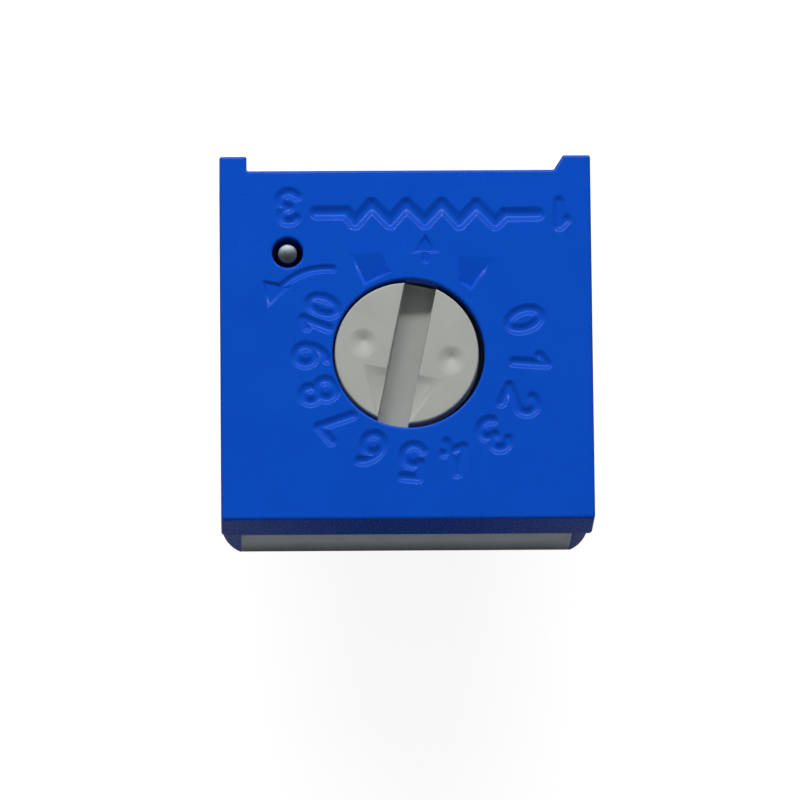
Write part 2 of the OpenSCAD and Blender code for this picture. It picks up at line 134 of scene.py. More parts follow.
# %% Lamps
def panel_lamp(name, swing, height, distance, wide, tall, watts):
    """Rectangular lamp that faces the middle of the part's face.

    swing is its angle from +Y towards +X and height its angle above the level, in degrees; all lengths
    are in mm. Its width lies level, so edges that run the same way as it does throw sharp shadows and
    edges that run across it throw soft ones.
    """
    swing, height = math.radians(swing), math.radians(height)
    towards = Vector((math.sin(swing) * math.cos(height), math.cos(swing) * math.cos(height),
                      math.sin(height)))
    data = bpy.data.lights.new(name, "AREA")
    data.shape = "RECTANGLE"
    data.size, data.size_y = wide * MM, tall * MM
    data.energy = watts
    lamp = bpy.data.objects.new(name, data)
    bpy.context.scene.collection.objects.link(lamp)
    place = Vector((0, 0, face_z)) + towards * distance
    lamp.matrix_world = Matrix.Translation(place * MM) @ towards.to_track_quat("Z", "Y").to_matrix().to_4x4()
    lamp.visible_camera = False
    return lamp


panel_lamp("window_lamp", -4, 43, 180, 230, 12, 0.405)
ceiling_lamp = panel_lamp("ceiling_lamp", 0, 80, 150, 240, 200, 0.058)
ceiling_lamp.visible_glossy = False
fill_card = panel_lamp("fill_card", 180, 24, 180, 220, 120, 0.037)
fill_card.visible_glossy = False
print("lamps:", [light.name for light in bpy.data.lights])

# %% A helper for shader nodes
def add_node(owner, kind, inputs=None, **settings):
    """Adds a shader node to a material, a world or a group. Each input is a value or an output to link."""
    tree = getattr(owner, "node_tree", owner)
    node = tree.nodes.new("ShaderNode" + kind)
    for name, value in settings.items():
        setattr(node, name, value)
    for socket, value in (inputs or {}).items():
        if isinstance(value, bpy.types.NodeSocket):
            tree.links.new(value, node.inputs[socket])
        else:
            node.inputs[socket].default_value = value
    return node


# %% Surroundings
world = bpy.data.worlds.new("surroundings")
bpy.context.scene.world = world
world.use_nodes = True
rays = add_node(world, "LightPath").outputs
heading = add_node(world, "SeparateXYZ", {0: add_node(world, "TexCoord").outputs["Generated"]})
mirrored = add_node(world, "MapRange", {"Value": heading.outputs["Z"], "From Min": 0.25, "From Max": 0.92,
                                        "To Min": 1.0, "To Max": 0.03})
even_light = 0.06
strength = even_light
for ray, seen in (("Is Glossy Ray", mirrored.outputs["Result"]), ("Is Transmission Ray", 1.0),
                  ("Is Camera Ray", 1.0)):
    strength = add_node(world, "Mix", {"Factor": rays[ray], "A": strength, "B": seen}).outputs["Result"]
background = world.node_tree.nodes["Background"].inputs
world.node_tree.links.new(strength, background["Strength"])
background["Color"].default_value = (1, 1, 1, 1)

bpy.context.scene.view_settings.view_transform = "Standard"
print("surroundings with", len(world.node_tree.nodes), "nodes")

# %% [markdown]
# ## Helpers for materials
# Every finish starts from one Principled shader. What changes over a surface, such as grain or blotches,
# comes out of node groups that are built once and placed in each material with their own values, so
# that a reader can change the grain of all the plastics in one place.

# %% Material helpers
def new_material(name, color, roughness, metallic=0.0, specular=0.5):
    """A material with its constants on the Principled shader's own sockets."""
    material = bpy.data.materials.new(name)
    material.use_nodes = True
    constants = {"Base Color": (*color, 1), "Roughness": roughness, "Metallic": metallic,
                 "Specular IOR Level": specular}
    for socket, value in constants.items():
        material.node_tree.nodes["Principled BSDF"].inputs[socket].default_value = value
    return material


def place_group(material, group, **values):
    """Places a node group in a material and sets its inputs. Underscores in a name stand for spaces."""
    node = material.node_tree.nodes.new("ShaderNodeGroup")
    node.node_tree = group
    for name, value in values.items():
        node.inputs[name.replace("_", " ")].default_value = value
    return node


def mix(material, factor, under, over):
    """Lays one colour over another by a mask. Each of them is a written colour or a colour output."""
    under, over = ((*color, 1) if isinstance(color, tuple) else color for color in (under, over))
    sockets = {"Factor": factor, "A": under, "B": over}
    return add_node(material, "Mix", sockets, data_type="RGBA").outputs["Result"]


def span_value(material, value, low, high):
    """Stretches a 0 to 1 value to the range from low to high."""
    return add_node(material, "MapRange", {"Value": value, "To Min": low, "To Max": high}).outputs["Result"]


def feed(material, output, socket):
    """Links an output to one of the Principled shader's sockets."""
    material.node_tree.links.new(output, material.node_tree.nodes["Principled BSDF"].inputs[socket])


def add_bump(material, height, distance, strength):
    """Turns a height into a bumped normal. The distance is in mm."""
    sockets = {"Height": height, "Distance": distance * MM, "Strength": strength}
    feed(material, add_node(material, "Bump", sockets).outputs["Normal"], "Normal")


def rising_mask(material, length, start, full):
    """Mask that rises from 0 to 1 as a length goes from one value in mm to another."""
    sockets = {"Value": length, "From Min": start * MM, "From Max": full * MM}
    return add_node(material, "MapRange", sockets).outputs["Result"]


def height_mask(material, start, full):
    """Mask that rises from 0 at one height to 1 at another, both in mm, on Object coordinates."""
    place = add_node(material, "TexCoord").outputs["Object"]
    parts = add_node(material, "SeparateXYZ", {0: place})
    return rising_mask(material, parts.outputs["Z"], start, full)


# %% Helpers for groups
def new_group(name, inputs, outputs):
    """A node group with number sockets, and its two end nodes. Each input has its default beside it."""
    group = bpy.data.node_groups.new(name, "ShaderNodeTree")
    for socket, default in inputs.items():
        item = group.interface.new_socket(socket, in_out="INPUT", socket_type="NodeSocketFloat")
        item.default_value = default
    for socket in outputs:
        group.interface.new_socket(socket, in_out="OUTPUT", socket_type="NodeSocketFloat")
    return group, group.nodes.new("NodeGroupInput"), group.nodes.new("NodeGroupOutput")


def texture_of_size(group, kind, size, **inputs):
    """A texture on Object coordinates, whose scale is one over a size in mm."""
    place = add_node(group, "TexCoord").outputs["Object"]
    per_metre = add_node(group, "Math", {0: 1 / MM, 1: size}, operation="DIVIDE").outputs[0]
    return add_node(group, kind, {"Vector": place, "Scale": per_metre, **inputs})


# %% Group: grain of a moulded or sintered surface
def make_grain_group():
    """Two noises: a fine one for the skin and a wide one for cloudy colour."""
    sizes = {"Grain Size": 0.05, "Cloud Size": 1.5}
    group, inputs, outputs = new_group("surface_grain", sizes, ("Grain", "Cloud"))
    for size, detail, result in (("Grain Size", 3, "Grain"), ("Cloud Size", 2, "Cloud")):
        noise = texture_of_size(group, "TexNoise", inputs.outputs[size], Detail=detail, Roughness=0.6)
        group.links.new(noise.outputs["Fac"], outputs.inputs[result])
    return group


grain_group = make_grain_group()
print("group", grain_group.name, "with", len(grain_group.nodes), "nodes")


# %% Group: specks and dust
def make_speck_group():
    """Round specks: the places of a Voronoi texture that lie close to one of its points."""
    group, inputs, outputs = new_group("specks", {"Spacing": 0.5, "Share": 0.12}, ("Mask",))
    cells = texture_of_size(group, "TexVoronoi", inputs.outputs["Spacing"])
    step = add_node(group, "MapRange", {"Value": cells.outputs["Distance"], "To Min": 1, "To Max": 0,
                                        "From Max": inputs.outputs["Share"]})
    group.links.new(step.outputs["Result"], outputs.inputs["Mask"])
    return group


speck_group = make_speck_group()
print("group", speck_group.name, "with", len(speck_group.nodes), "nodes")


def speckle(material, under, spacing, share, strongest, color):
    """Lays specks of one colour over a colour output."""
    specks = place_group(material, speck_group, Spacing=spacing, Share=share)
    return mix(material, span_value(material, specks.outputs["Mask"], 0, strongest), under, color)


# %% [markdown]
# ## Plastics
# The housing is a deep blue thermoset, satin from the mould, a touch cloudy, with a little pale dust in
# its skin. The rotor is an off-white plastic with a faint grey cast, and its hub in the gap round the
# neck is painted nearly black as shade. Both get their cloudiness from the same group, at different sizes.

# %% Blue housing plastic: soft clouds, a fine skin and a few pale specks
housing_blue = new_material("housing_blue", (0.001, 0.070, 0.53), 0.25, specular=0.10)
grain = place_group(housing_blue, grain_group, Grain_Size=0.06, Cloud_Size=1.6).outputs
clouded = mix(housing_blue, grain["Cloud"], (0.0006, 0.063, 0.50), (0.0014, 0.079, 0.56))
feed(housing_blue, speckle(housing_blue, clouded, 0.45, 0.06, 0.08, (0.2, 0.35, 0.7)), "Base Color")
feed(housing_blue, span_value(housing_blue, grain["Grain"], 0.20, 0.32), "Roughness")
add_bump(housing_blue, grain["Grain"], 0.004, 0.3)
print("housing plastic with", len(housing_blue.node_tree.nodes), "nodes")


# %% White rotor plastic: grey clouds, and painted shade on the hub in the gap round the neck
def grime_mask(material, inner, bottom, soft=0.02):
    """Mask of what lies outside a radius about Z and above a height, both in mm, on Object coordinates."""
    place = add_node(material, "TexCoord").outputs["Object"]
    level = add_node(material, "VectorMath", {0: place, 1: (1, 1, 0)}, operation="MULTIPLY").outputs[0]
    away = add_node(material, "VectorMath", {0: level}, operation="LENGTH").outputs["Value"]
    outside = rising_mask(material, away, inner, inner + soft)
    above = height_mask(material, bottom, bottom + soft)
    return add_node(material, "Math", {0: outside, 1: above}, operation="MULTIPLY").outputs[0]


rotor_white = new_material("rotor_white", (0.37, 0.385, 0.36), 0.45, specular=0.25)
grain = place_group(rotor_white, grain_group, Grain_Size=0.045, Cloud_Size=0.7).outputs
clouded = mix(rotor_white, grain["Cloud"], (0.335, 0.35, 0.325), (0.41, 0.42, 0.395))
dusted = speckle(rotor_white, clouded, 0.3, 0.07, 0.25, (0.2, 0.21, 0.2))
# Painted shade: the hub in the gap round the neck is painted nearly black, where the gap's shade falls.
painted_gap_shade = grime_mask(rotor_white, neck_r + 0.01, hub_top - 0.1)
feed(rotor_white, mix(rotor_white, painted_gap_shade, dusted, (0.012, 0.015, 0.022)), "Base Color")
feed(rotor_white, span_value(rotor_white, grain["Grain"], 0.38, 0.56), "Roughness")
add_bump(rotor_white, grain["Grain"], 0.004, 0.6)
print("rotor plastic with", len(rotor_white.node_tree.nodes), "nodes")

# %% [markdown]
# ## The other finishes
# The potting is a cured grey compound with a slightly uneven, half-gloss skin, whose colour is darkened
# towards its back edge as painted shade. Leads and solder are tin, whose coat is a little blotchy, and a
# lead's sheared upper end is rougher and darker: partly its bare core, partly a painted dark reflection.
# The ceramic, the two fired films, the silicone ring and the spring strip are inside, and are finished the
# same way, because a part is looked into as well.

# %% Potting: slow waves, clouds and dark specks of filler
potting_grey = new_material("potting_grey", (0.40, 0.47, 0.50), 0.5, specular=0.2)
grain = place_group(potting_grey, grain_group, Grain_Size=0.35, Cloud_Size=0.9).outputs
clouded = mix(potting_grey, grain["Cloud"], (0.50, 0.57, 0.59), (0.64, 0.72, 0.75))
# Painted shade: the colour darkens from 1.8 mm down towards the back edge at 0.5 mm.
dark = span_value(potting_grey, height_mask(potting_grey, 1.8, 0.5), 0, 0.88)
shaded_towards_back = mix(potting_grey, dark, clouded, (0.07, 0.08, 0.10))
feed(potting_grey, speckle(potting_grey, shaded_towards_back, 0.12, 0.2, 0.35, (0.20, 0.235, 0.25)), "Base Color")
feed(potting_grey, span_value(potting_grey, grain["Cloud"], 0.4, 0.6), "Roughness")
add_bump(potting_grey, grain["Grain"], 0.02, 0.6)
print("potting with", len(potting_grey.node_tree.nodes), "nodes")


# %% Tinned wire and solder
def make_tin(name, dull, bright, rough_low, rough_high, cut_core_and_reflection_color):
    """Blotchy tin: the clouds change both its brightness and its polish. A sheared upper end is darker:
    partly its bare core, partly a painted dark reflection.
    """
    material = new_material(name, bright, rough_low, metallic=1.0)
    grain = place_group(material, grain_group, Grain_Size=0.05, Cloud_Size=0.35).outputs
    # The end above 4.45 mm is darker: partly its bare sheared core, partly painted dark reflection.
    cut = height_mask(material, 4.45, 4.55)
    feed(material, mix(material, cut, mix(material, grain["Cloud"], dull, bright), cut_core_and_reflection_color), "Base Color")
    rough = {0: span_value(material, grain["Cloud"], rough_high, rough_low),
             1: span_value(material, cut, 0, 0.42)}
    feed(material, add_node(material, "Math", rough, operation="MAXIMUM").outputs[0], "Roughness")
    add_bump(material, grain["Grain"], 0.005, 0.5)
    return material


lead_tin = make_tin("lead_tin", (0.56, 0.57, 0.58), (0.80, 0.81, 0.82), 0.18, 0.42, (0.13, 0.15, 0.17))
solder_tin = make_tin("solder_tin", (0.44, 0.45, 0.47), (0.68, 0.69, 0.70), 0.25, 0.5, (0.3, 0.3, 0.3))
print("two tins with", len(lead_tin.node_tree.nodes), "nodes each")


# %% Ceramic, films, ring and spring
def make_grained(name, dark, light, roughness, grain_size, cloud_size, bump, metallic=0.0):
    """A clouded finish between two colours with a grain of one size."""
    material = new_material(name, light, roughness, metallic=metallic)
    grain = place_group(material, grain_group, Grain_Size=grain_size, Cloud_Size=cloud_size).outputs
    feed(material, mix(material, grain["Cloud"], dark, light), "Base Color")
    feed(material, span_value(material, grain["Grain"], roughness * 0.8, roughness * 1.2), "Roughness")
    add_bump(material, grain["Grain"], bump, 0.6)
    return material


alumina = make_grained("alumina", (0.76, 0.75, 0.71), (0.84, 0.83, 0.80), 0.55, 0.03, 0.8, 0.004)
cermet_film = make_grained("cermet_film", (0.018, 0.017, 0.018), (0.045, 0.042, 0.04), 0.4, 0.04, 0.3, 0.004)
conductor_film = make_grained("conductor_film", (0.42, 0.41, 0.38), (0.60, 0.59, 0.56), 0.42, 0.03, 0.25,
                              0.003, metallic=0.9)
ring_rubber = make_grained("ring_rubber", (0.20, 0.045, 0.03), (0.30, 0.075, 0.045), 0.5, 0.05, 0.5, 0.004)
spring_metal = make_grained("spring_metal", (0.62, 0.45, 0.20), (0.80, 0.62, 0.33), 0.28, 0.03, 0.4, 0.002,
                            metallic=1.0)

finishes = dict(housing_blue=housing_blue, rotor_white=rotor_white, potting_grey=potting_grey,
                lead_tin=lead_tin, solder_tin=solder_tin, alumina=alumina, cermet_film=cermet_film,
                conductor_film=conductor_film, ring_rubber=ring_rubber, spring_metal=spring_metal)
for part in frame["record"]["subparts"]:
    node = frame["nodes"][part["node"]]
    node.data.materials.clear()
    node.data.materials.append(finishes[part["material_slot"]])

# %% [markdown]
# ## Helpers for meshes
# A mould leaves no sharp edge, so each rebuilt piece has tiny rounded edges. The pieces are meshes of
# many small faces with a Weighted Normal modifier, which lets the big flat faces keep their flat shading
# while the narrow rounded strips between them blend from one to the next.

# %% Making a piece
sharp_angle = math.radians(50)


def add_surface(solid, points, faces):
    """Adds a worked-out surface to a bmesh."""
    verts = [solid.verts.new(p) for p in points.tolist()]
    for face in faces:
        solid.faces.new([verts[i] for i in face])


def finish_piece(name, solid, material):
    """Turns a bmesh in mm into a linked piece in metres, smoothly shaded with weighted normals."""
    bmesh.ops.scale(solid, vec=(MM,) * 3, verts=solid.verts)
    mesh = bpy.data.meshes.new(name)
    solid.to_mesh(mesh)
    solid.free()
    mesh.validate()
    mesh.materials.append(material)
    mesh.polygons.foreach_set("use_smooth", np.ones(len(mesh.polygons), bool))
    mesh.set_sharp_from_angle(angle=sharp_angle)
    piece = bpy.data.objects.new(name, mesh)
    bpy.context.scene.collection.objects.link(piece)
    normals = piece.modifiers.new("flat_faces_stay_flat", "WEIGHTED_NORMAL")
    normals.keep_sharp = True
    normals.weight = 80
    print(f"{name}: {len(mesh.polygons)} faces")
    return piece


def grid_faces(rows, columns):
    """Quads of a grid of points stored row by row, whose last column joins its first."""
    row, column = np.meshgrid(np.arange(rows - 1), np.arange(columns), indexing="ij")
    after = (column + 1) % columns
    quads = np.stack([row * columns + column, row * columns + after,
                      (row + 1) * columns + after, (row + 1) * columns + column], axis=-1)
    return quads.reshape(-1, 4).tolist()


def headings(angles):
    """Unit vectors at angles from +X."""
    return np.stack([np.cos(angles), np.sin(angles)], axis=-1)


def ring(radius, count, centre=(0.0, 0.0)):
    """Points of a circle, anticlockwise."""
    return np.array(centre) + radius * headings(np.linspace(0, 2 * np.pi, count, endpoint=False))


def stacked(loops, heights):
    """Points of level loops, each at its height, stored row by row."""
    return np.concatenate([np.column_stack([loop, np.full(len(loop), z)]) for loop, z in zip(loops, heights)])


# %% [markdown]
# ## How a mark is cut into a face
# A stroke is the groove that a round-ended cutter leaves along a path, and a recess is a sunk polygon.
# The depth at a point is a function of one number: how far the point lies inside the mark's outline. The
# sheet is triangulated by a constrained Delaunay triangulation that follows the outline at a few
# distances inside it, and then all its points drop by the depth function at once.

# %% Distances
def distance_to_path(points, path):
    """Distance from each point to a polyline: the least of the distances to its segments."""
    best = np.full(len(points), np.inf)
    for a, b in zip(path[:-1], path[1:]):
        along = b - a
        t = np.clip((points - a) @ along / max(along @ along, 1e-12), 0, 1)
        best = np.minimum(best, np.linalg.norm(points - a - t[:, None] * along, axis=1))
    return best


def along_and_left(steps):
    """Unit directions of some steps, and the directions a quarter turn to their left."""
    along = steps / np.linalg.norm(steps, axis=1, keepdims=True)
    return along, np.stack([-along[:, 1], along[:, 0]], axis=1)


def sides(corners):
    """For each side of an anticlockwise polygon, its direction and the direction inwards."""
    return along_and_left(np.roll(corners, -1, axis=0) - corners)


def inside_polygon(points, corners):
    """How far each point lies inside a convex anticlockwise polygon. It is negative outside."""
    return np.einsum("pcd,cd->pc", points[:, None, :] - corners[None], sides(corners)[1]).min(axis=1)


def inside_loop(points, loop):
    """Even-odd test: counts how often a ray from each point towards +X crosses the loop."""
    crossings = np.zeros(len(points), int)
    for (x1, y1), (x2, y2) in zip(loop, np.roll(loop, -1, axis=0)):
        if y1 != y2:
            spans = (y1 > points[:, 1]) != (y2 > points[:, 1])
            crossings += spans & (points[:, 0] < (x2 - x1) * (points[:, 1] - y1) / (y2 - y1) + x1)
    return crossings % 2 == 1


# %% Outlines
def around_path(path, reach, cap_steps=8):
    """Closed outline at one distance from a polyline: its two sides joined by half circles."""
    across = along_and_left(np.gradient(path, axis=0))[1]
    turn_by = np.linspace(0, np.pi, cap_steps + 1)[1:-1]
    far_cap, near_cap = (end + reach * headings(math.atan2(*start[::-1]) + turn_by)
                         for end, start in ((path[-1], -across[-1]), (path[0], across[0])))
    return np.concatenate([path - reach * across, far_cap, (path + reach * across)[::-1], near_cap])


def shrunk_polygon(corners, inset):
    """An anticlockwise polygon with each side moved inwards by the inset."""
    inward = sides(corners)[1]
    before = np.roll(inward, 1, axis=0)
    share = inset / (1 + (before * inward).sum(axis=1, keepdims=True))
    return corners + share * (before + inward)


# %% Kinds of mark
guard = 0.02


def cut_profile(width, depth):
    """Depth against distance inside the outline: a soft lip, a sloping wall and a rounded foot."""
    distances = width * np.array([0.0, 0.12, 0.30, 0.50, 0.70, 0.86, 1.0])
    depths = depth * np.array([0.0, 0.07, 0.30, 0.58, 0.85, 0.96, 1.0])
    return distances, depths


def stroke(path, half_width, depth=0.07):
    """Groove along a path: its outlines at each distance of its profile, and its depth function."""
    path = np.asarray(path, float)
    wall_share = 0.92
    distances, depths = cut_profile(half_width * wall_share, depth)
    loops = [around_path(path, half_width - d) for d in (-guard, *distances)]
    return loops, lambda p: np.interp(half_width - distance_to_path(p, path), distances, depths)


def recess(corners, depth, wall=0.09, floor=None):
    """Sunk convex polygon. Its floor may be a function of place, as where it slopes."""
    corners = np.asarray(corners, float)
    distances, depths = cut_profile(wall, depth)
    loops = [shrunk_polygon(corners, d) for d in (-guard, *distances)]

    def depth_at(points):
        sunk = np.interp(inside_polygon(points, corners), distances, depths)
        return sunk if floor is None else np.minimum(sunk, floor(points))

    return loops, depth_at


def wedge(corners, depth, wall=0.11):
    """Recess whose floor slopes from nothing at its +Y side to the full depth at its -Y end."""
    low, high = np.min(corners, axis=0)[1], np.max(corners, axis=0)[1]
    return recess(corners, depth, wall, lambda p: depth * np.clip((high - p[:, 1]) / (high - low), 0, 1))


# %% The carved sheet
def carved_sheet(border, holes, marks, height, rings=(), lines=(), spared=()):
    """Triangles over a plane region, each point as low as the surface without marks or the deepest mark.

    The border, the holes' edges, the marks' outlines and any extra rings and lines all become edges of
    the triangulation. A triangle stays if its middle lies inside the border and outside each hole. No
    mark lowers a point of the border or of a hole's edge, and no outline enters a spared loop.
    """
    chains = [(border, True)] + [(hole, True) for hole in holes]
    rim_count = sum(len(chain) for chain, _ in chains)
    chains += [(line, False) for line in lines] + [(loop, True) for loop in rings]
    for outline in [loop for loops, _ in marks for loop in loops]:
        free = ~np.any([inside_loop(outline, loop) for loop in spared], axis=0) if spared else slice(None)
        chains.append((outline[free], True))
    points, edges, first = [], [], 0
    for chain, closed in chains:
        index = first + np.arange(len(chain))
        pairs = np.stack([index, np.roll(index, -1)], axis=1)
        edges.append(pairs if closed else pairs[:-1])
        points.append(np.asarray(chain, float))
        first += len(chain)
    points, edges = np.concatenate(points).tolist(), np.concatenate(edges).tolist()
    verts, _, triangles, given, _, _ = delaunay_2d_cdt([Vector(p) for p in points], edges, [], 0, 1e-6, True)
    plan, triangles = np.array([tuple(v) for v in verts]), np.array(triangles)
    middle = plan[triangles].mean(axis=1)
    kept = inside_loop(middle, border)
    for hole in holes:
        kept &= ~inside_loop(middle, hole)
    triangles = triangles[kept]
    corner = plan[triangles]
    side_1, side_2 = corner[:, 1] - corner[:, 0], corner[:, 2] - corner[:, 0]
    area = side_1[:, 0] * side_2[:, 1] - side_1[:, 1] * side_2[:, 0]
    triangles[area < 0] = triangles[area < 0][:, ::-1]
    sunk = np.zeros(len(plan))
    for _, depth_at in marks:
        sunk = np.maximum(sunk, depth_at(plan))
    sunk[[any(i < rim_count for i in indices) for indices in given]] = 0.0
    z = np.minimum(height(plan), face_z - sunk)
    return np.column_stack([plan, z]), triangles.tolist()


# %% [markdown]
# ## The marks on the face
# The face carries the sign of a resistor between the numbers of its two end leads, a small arrowhead
# for the wiper, an arc arrow for the direction of turning, two wedge marks by the aperture, and a dial.
# The dial has plain numbers from 0 to 10 round the aperture, their tops outwards. A moulded number is
# a set of strokes, so each one is drawn with lines and arcs in a box one unit high.

# %% Strokes of the numbers
def arc(cx, cy, rx, ry, start, end, count=14):
    """Part of an ellipse from a start to an end angle in degrees."""
    return np.array([cx, cy]) + [rx, ry] * headings(np.radians(np.linspace(start, end, count)))


def oval(*ellipse):
    """A whole ellipse as two strokes."""
    return [arc(*ellipse, 90, 270), arc(*ellipse, -90, 90)]


def line(*corners):
    """Straight strokes through the corners, each its own path so that its ends are round."""
    return [np.array(pair, float) for pair in zip(corners[:-1], corners[1:])]


six = oval(0.30, 0.30, 0.28, 0.29) + [arc(0.62, 0.30, 0.60, 0.70, 180, 108)]
numerals = {
    "0": oval(0.30, 0.5, 0.29, 0.5),
    "1": line((0.10, 0.76), (0.34, 1.0), (0.34, 0.0)),
    "2": [arc(0.30, 0.71, 0.28, 0.29, 165, -38)] + line((0.52, 0.53), (0.03, 0.0), (0.60, 0.0)),
    "3": [arc(0.28, 0.76, 0.26, 0.24, 150, -90), arc(0.28, 0.26, 0.30, 0.26, 90, -150)],
    "4": line((0.43, 1.0), (0.0, 0.30), (0.62, 0.30)) + line((0.43, 1.0), (0.43, 0.0)),
    "5": line((0.56, 1.0), (0.10, 1.0), (0.06, 0.55)) + [arc(0.28, 0.31, 0.31, 0.31, 132, -145)],
    "6": six,
    "7": line((0.02, 1.0), (0.60, 1.0), (0.22, 0.0)),
    "8": oval(0.30, 0.77, 0.23, 0.23) + oval(0.30, 0.27, 0.29, 0.27),
    "9": [np.array([0.60, 1.0]) - path for path in six],
}


def number_paths(text, middle, up_degrees, height):
    """Paths of a whole number, its middle at a point and its top turned to an angle."""
    step, figure_width = 0.74, 0.60
    up = math.radians(up_degrees)
    to_right = np.array([math.sin(up), -math.cos(up)])
    to_top = np.array([math.cos(up), math.sin(up)])
    width = step * (len(text) - 1) + figure_width
    paths = []
    for place, figure in enumerate(text):
        for path in numerals[figure]:
            local = (path + [step * place - width / 2, -0.5]) * height
            paths.append(np.asarray(middle) + local[:, :1] * to_right + local[:, 1:] * to_top)
    return paths


# %% All marks of the face, in mm
dial_middle = np.array([0.37, -0.05])
dial_r = 2.80
dial_angles = (19, -4, -26, -49, -72, -95, -118, -140, -160, 180, 158)
stroke_half = 0.165
marks = []
for value, angle in enumerate(dial_angles):
    place = dial_middle + dial_r * headings(math.radians(angle))
    tall = 0.84 if value < 10 else 0.72
    marks += [stroke(path, stroke_half) for path in number_paths(str(value), place, angle, tall)]
marks += [stroke(path, stroke_half) for path in number_paths("3", (-3.00, 3.84), -90, 0.78)]
marks += [stroke(path, 0.19) for path in number_paths("1", (3.98, 3.64), -90, 0.62)]
zigzag = [(-2.28, 3.69), (-1.52, 3.69), (-1.29, 3.42), (-0.86, 3.90), (-0.39, 3.42), (0.03, 3.90),
          (0.50, 3.42), (0.94, 3.90), (1.38, 3.40), (1.83, 3.88), (2.30, 3.38), (2.56, 3.63), (3.40, 3.63)]
marks += [stroke(path, 0.21, 0.085) for path in line(*zigzag)]
marks += [
    recess([(0.50, 3.14), (0.08, 2.60), (0.92, 2.60)], 0.07),
    stroke([(0.50, 2.62), (0.50, 2.44)], 0.12),
    wedge([(-1.46, 2.62), (-1.09, 1.76), (-0.34, 2.13), (-0.62, 2.64)], 0.18),
    wedge([(1.31, 1.89), (1.67, 1.62), (2.30, 2.45), (1.33, 2.58)], 0.18),
    stroke(arc(-2.05, 0.60, 1.62, 1.62, 138, 84, 18), 0.13),
    recess([(-3.70, 1.96), (-3.54, 1.16), (-2.90, 1.78)], 0.07)]
print(len(marks), "marks")

# %% [markdown]
# ## The housing
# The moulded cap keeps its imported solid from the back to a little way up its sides. Above that, and in
# the aperture and the hole over the lead, its surface is made again with finer circles and the small
# radii that a mould leaves. Each new wall is a profile carried along an outline. A low strip of
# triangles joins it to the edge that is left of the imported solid, so that the piece stays closed.

# %% Outline of the cap
standoff_w = 0.70
standoff_slope = 0.24
foot_side = 4.81
cap_corners = np.array([
    (side_x, plain_side), (side_x, standoff_y), (side_x - standoff_w, standoff_y),
    (side_x - standoff_w - standoff_slope, foot_side), (-side_x + standoff_w, foot_side),
    (-side_x + standoff_w, standoff_y), (-side_x, standoff_y), (-side_x, plain_side)])
cap_radii = np.array([0.10, 0.06, 0.05, 0.06, 0.05, 0.05, 0.06, 0.10])
corner_steps = 6


def cap_outline(inset):
    """The cap's anticlockwise outline moved inwards, each corner an arc that touches both of its sides.

    A corner that points out loses the inset from its radius, and one that points in gains it, so that
    outlines at different insets stay parallel and have the same number of points.
    """
    along, inward = sides(cap_corners)
    before_in, before_along = np.roll(inward, 1, axis=0), np.roll(along, 1, axis=0)
    moved = shrunk_polygon(cap_corners, inset)
    turning = np.arctan2(before_along[:, 0] * along[:, 1] - before_along[:, 1] * along[:, 0],
                         (before_along * along).sum(axis=1))
    side = np.sign(turning)
    least_r = 0.008
    radius = np.maximum(cap_radii - side * inset, least_r)
    centre = moved - before_along * (radius * np.tan(np.abs(turning) / 2))[:, None] \
        + before_in * (side * radius)[:, None]
    start = np.arctan2(-side * before_in[:, 1], -side * before_in[:, 0])
    angle = start[:, None] + turning[:, None] * np.linspace(0, 1, corner_steps + 1)[None]
    return (centre[:, None] + radius[:, None, None] * headings(angle)).reshape(-1, 2)


def edge_rows(radius, steps=5):
    """Quarter circle of a rounded edge: how far each row lies in from the side and down from the top."""
    angle = np.linspace(0, np.pi / 2, steps + 1)
    return radius * (1 - np.cos(angle)), radius * (1 - np.sin(angle))


# %% Walls of the cap
joint_z, window_joint_z, lip_joint_z = 2.92, 2.85, lip_z + 0.02
strip = 0.05
cap_edge_r = 0.08
rim_r = 0.06
aperture_count, window_count = 192, 72
insets, drops = edge_rows(cap_edge_r)
cap_loops = [cap_outline(inset) for inset in (0, *insets)]
cap_wall = stacked(cap_loops, (joint_z + strip, *(face_z - drops)))
cap_faces = grid_faces(len(cap_loops), len(cap_loops[0]))


def hole_wall(radius, centre, bottom, count, edge_r):
    """Wall of a round hole: a lip of radius edge_r, then straight down. Faces point to the axis."""
    grow, drop = edge_rows(edge_r)
    loops = [ring(radius + g, count, centre) for g in (0, *grow)]
    faces = [quad[::-1] for quad in grid_faces(len(loops), count)]
    return stacked(loops, (bottom, *(face_z - drop))), faces


aperture_wall = hole_wall(aperture_r, aperture_at, lip_joint_z + 0.03, aperture_count, rim_r)
window_wall = hole_wall(window_r, lead_3_xy, window_joint_z + strip, window_count, rim_r)


def edge_loops(inset):
    """The cap's outline, the aperture's edge and the window's edge, each moved into the face by the inset."""
    return [cap_outline(cap_edge_r + inset),
            ring(aperture_r + rim_r + inset, aperture_count, aperture_at),
            ring(window_r + rim_r + inset, window_count, lead_3_xy)]


border, *holes = edge_loops(0)
guards = edge_loops(guard)
face_sheet = carved_sheet(border, holes, marks, lambda p: np.full(len(p), face_z), rings=guards,
                          spared=guards[1:2])
print("face sheet:", len(face_sheet[1]), "triangles")


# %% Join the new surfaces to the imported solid
def cad_copy(node):
    """A merged copy of a node's mesh in mm, as a bmesh. The node itself is left alone."""
    copied = bmesh.new()
    copied.from_mesh(frame["nodes"][node].data)
    bmesh.ops.scale(copied, vec=(1 / MM,) * 3, verts=copied.verts)
    bmesh.ops.remove_doubles(copied, verts=copied.verts, dist=1e-4)
    return copied


